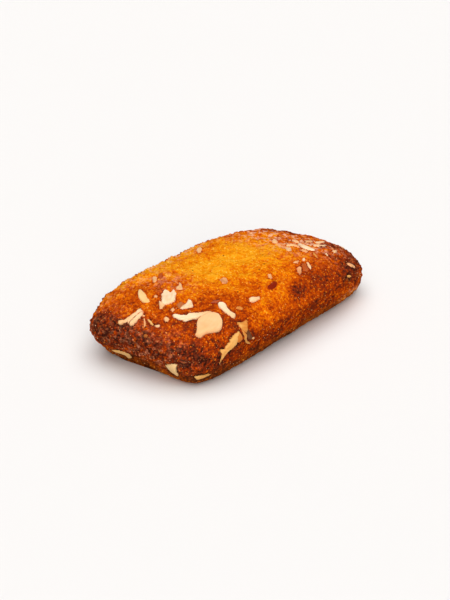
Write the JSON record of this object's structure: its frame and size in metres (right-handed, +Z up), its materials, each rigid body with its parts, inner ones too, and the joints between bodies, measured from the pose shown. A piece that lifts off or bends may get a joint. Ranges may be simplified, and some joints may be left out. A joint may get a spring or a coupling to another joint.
{
  "type": "financier cake",
  "caption": "Small bar-shaped almond cake with undercut moulded sides, a rounded rim and a low domed top, with flaked almonds baked onto its crust.",
  "frame": {"origin": "on the flat resting face, under the middle of the cake's box", "axes": "+X along the cake's length, from the browner undercut end to the upright end; +Y across it to its left; +Z up, out of the domed top"},
  "size_m": [0.088, 0.0477, 0.0197],
  "materials": {
    "crust": "baked golden to deep brown cake crust, fine-grained, with a faint sugary gloss and cream flaked almonds"
  },
  "bodies": {
    "root": {"cake": "crust"}
  },
  "joints": []
}
